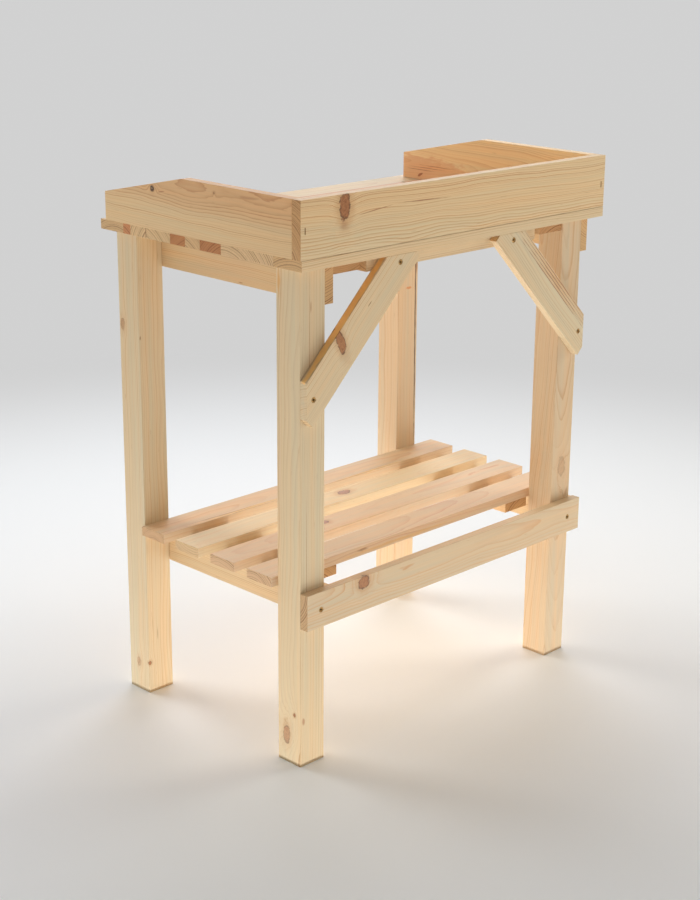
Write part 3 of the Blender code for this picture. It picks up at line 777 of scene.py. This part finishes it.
def staple_body(crown, length):
    """A bent wire along -Z, its crown just below z = 0."""
    builder = bmesh.new()
    radius = STAPLE_WIRE / 2
    half, bend = crown / 2 - radius, STAPLE_WIRE * BEND_PART
    bends = [step / BEND_STEPS * pi / 2 for step in range(BEND_STEPS + 1)]
    path = [Vector((-half, 0, -length))]
    for side, angles in ((-1, bends), (1, bends[::-1])):
        for angle in angles:
            x = side * (half - bend + bend * cos(angle))
            path.append(Vector((x, 0, -radius - bend + bend * sin(angle))))
    path.append(Vector((half, 0, -length)))
    loops = []
    for index, point in enumerate(path):
        before, after = path[max(index - 1, 0)], path[min(index + 1, len(path) - 1)]
        side = Vector((0, 1, 0))
        out = side.cross((after - before).normalized())
        turns = (2 * pi * k / WIRE_SIDES for k in range(WIRE_SIDES))
        loops.append([
            builder.verts.new(point + (side * cos(turn) + out * sin(turn)) * radius)
            for turn in turns
        ])
    for first, second in zip(loops, loops[1:]):
        close_ring(builder, first, second)
    builder.faces.new(loops[0])
    builder.faces.new(loops[-1])
    return builder


# Fasteners driven towards the negative end of their axis: down, or from the back forwards
DRIVEN_BACKWARDS = ("worktop_screw", "tray_staple", "diagonal_brace", "back_stretcher")


def fastener_axis(node):
    """A fastener's outer end, which way it points, its length and its greatest width, from its
    box. Each is driven along one axis."""
    low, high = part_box(node)
    sizes = high - low
    axis = max(range(3), key=lambda i: sizes[i])
    aim = Vector((0, 0, 0))
    aim[axis] = -1 if node.startswith(DRIVEN_BACKWARDS) else 1
    place = (low + high) / 2
    place[axis] = low[axis] if aim[axis] > 0 else high[axis]
    return place, aim, sizes[axis], max(sizes[i] for i in range(3) if i != axis)


for name in sorted(NODES):
    if "staple" in name:
        place, aim, length, crown = fastener_axis(name)
        body = staple_body(crown, length)
        wire_name = name.replace("tray", "wire")
        new_piece(wire_name, body, STAPLE_STEEL, place, aim, name)
    elif "screw" in name:
        place, aim, length, width = fastener_axis(name)
        kind = SMALL_SCREW if width < SMALL_SCREW_WIDTH else WOOD_SCREW
        body = screw_body(*kind, length + HEAD_SUNK)
        outer = place - aim * HEAD_SUNK
        new_piece(name + "_detailed", body, SCREW_ZINC, outer, aim, name)


# ---------------------------------------------------------------- stage, light and camera


def plain(name, colour, rough):
    made = bpy.data.materials.new(name)
    made.use_nodes = True
    surface = made.node_tree.nodes["Principled BSDF"]
    surface.inputs["Base Color"].default_value = colour
    surface.inputs["Roughness"].default_value = rough
    surface.inputs["Specular IOR Level"].default_value = 0.1
    return made


FLOOR_RADIUS = 40.0
FLOOR_LIT_RADIUS, FLOOR_EVEN_RADIUS, FLOOR_FAR_LIGHT = 0.6, 2.0, 0.64
SKY_OVERHEAD = 0.05


def studio_floor():
    """A matt pale floor near the bench that turns into an evenly lit sweep further out."""
    made = plain("floor", srgb(240, 243, 248), 0.9)
    graph = Graph(made.node_tree)
    near = made.node_tree.nodes["Principled BSDF"]
    place = graph.node("ShaderNodeTexCoord").outputs["Object"]
    out = graph.steps(graph.vector("LENGTH", place), FLOOR_LIT_RADIUS, FLOOR_EVEN_RADIUS)
    far = graph.node("ShaderNodeEmission", {"Color": (1, 1, 1, 1), "Strength": FLOOR_FAR_LIGHT})
    both = graph.node("ShaderNodeMixShader", {0: out, 1: near.outputs["BSDF"], 2: far.outputs["Emission"]})
    graph.put(made.node_tree.nodes["Material Output"].inputs["Surface"], both.outputs["Shader"])
    return made


builder = bmesh.new()
bmesh.ops.create_circle(builder, cap_ends=True, segments=96, radius=FLOOR_RADIUS)
floor_mesh = bpy.data.meshes.new("floor")
builder.to_mesh(floor_mesh)
builder.free()
floor_mesh.materials.append(studio_floor())
floor = bpy.data.objects.new("floor", floor_mesh)
bpy.context.scene.collection.objects.link(floor)


def area_light(name, place, aim, size, power, tint=(1, 1, 1)):
    data = bpy.data.lights.new(name, "AREA")
    data.shape = "DISK"
    data.size = size
    data.energy = power
    data.color = tint
    light = bpy.data.objects.new(name, data)
    light.location = place
    light.rotation_mode = "QUATERNION"
    light.rotation_quaternion = (Vector(aim) - Vector(place)).to_track_quat("-Z", "Y")
    light.visible_camera = False
    bpy.context.scene.collection.objects.link(light)


area_light("top", (0, 0, 3.0), (0, 0, 0), 2.6, 14.5, (1.0, 0.98, 1.0))
area_light("behind", (-2.0, -2.0, 2.2), (0, 0, 0.4), 2.4, 50, (0.98, 1.0, 1.06))
area_light("right", (-0.6, 2.8, 2.0), (0, 0, 0.4), 2.4, 9, (1.0, 0.88, 0.68))
area_light("left", (2.8, -0.6, 1.8), (0, 0, 0.4), 2.0, 4.5, (1.0, 0.84, 0.60))
area_light("far_left", (0.8, -2.8, 1.6), (0, 0, 0.4), 2.0, 54, (1.0, 1.0, 0.94))
area_light("far_right", (-2.8, 0.8, 1.6), (0, 0, 0.4), 2.0, 42, (1.0, 0.95, 0.80))
area_light("floor_glow", (0, 0, 0.004), (0, 0, 1), 2.4, 16, (0.98, 1.0, 1.0))

world = bpy.data.worlds.new("studio")
world.use_nodes = True
graph = Graph(world.node_tree)
height = graph.separate(graph.node("ShaderNodeTexCoord").outputs["Generated"])[2]
sky = world.node_tree.nodes["Background"]
sky.inputs["Color"].default_value = (1, 1, 1, 1)
graph.put(sky.inputs["Strength"], graph.steps(height, 0.30, 0.10, SKY_OVERHEAD, FLOOR_FAR_LIGHT))
bpy.context.scene.world = world
bpy.context.scene.view_settings.view_transform = "Standard"

camera_data = bpy.data.cameras.new("camera")
camera = bpy.data.objects.new("camera", camera_data)
bpy.context.scene.collection.objects.link(camera)
bpy.context.scene.camera = camera
AZIMUTH, ELEVATION, ROLL = radians(133.62103), radians(17.32715), radians(0.87219)
FRAME_WIDTH_PX, FRAME_HEIGHT_PX, FOCAL_PX = 700, 900, 1727.617
AXIS_ACROSS_PX, AXIS_DOWN_PX = 393, 440
CAMERA_PLACE = (1.80315, 1.79102, 1.16598)
back = Vector((sin(AZIMUTH) * cos(ELEVATION), -cos(AZIMUTH) * cos(ELEVATION), sin(ELEVATION)))
right = Z_AXIS.cross(back).normalized()
up = back.cross(right)
rolled_right = right * cos(ROLL) + up * sin(ROLL)
rolled_up = up * cos(ROLL) - right * sin(ROLL)
camera.rotation_mode = "QUATERNION"
camera.rotation_quaternion = Matrix((rolled_right, rolled_up, back)).transposed().to_quaternion()
camera.location = CAMERA_PLACE
camera_data.sensor_width = 36.0
camera_data.lens = camera_data.sensor_width * FOCAL_PX / FRAME_HEIGHT_PX
camera_data.shift_x = (FRAME_WIDTH_PX / 2 - AXIS_ACROSS_PX) / FRAME_HEIGHT_PX
camera_data.shift_y = (AXIS_DOWN_PX - FRAME_HEIGHT_PX / 2) / FRAME_HEIGHT_PX
camera_data.clip_start, camera_data.clip_end = 0.05, 100.0
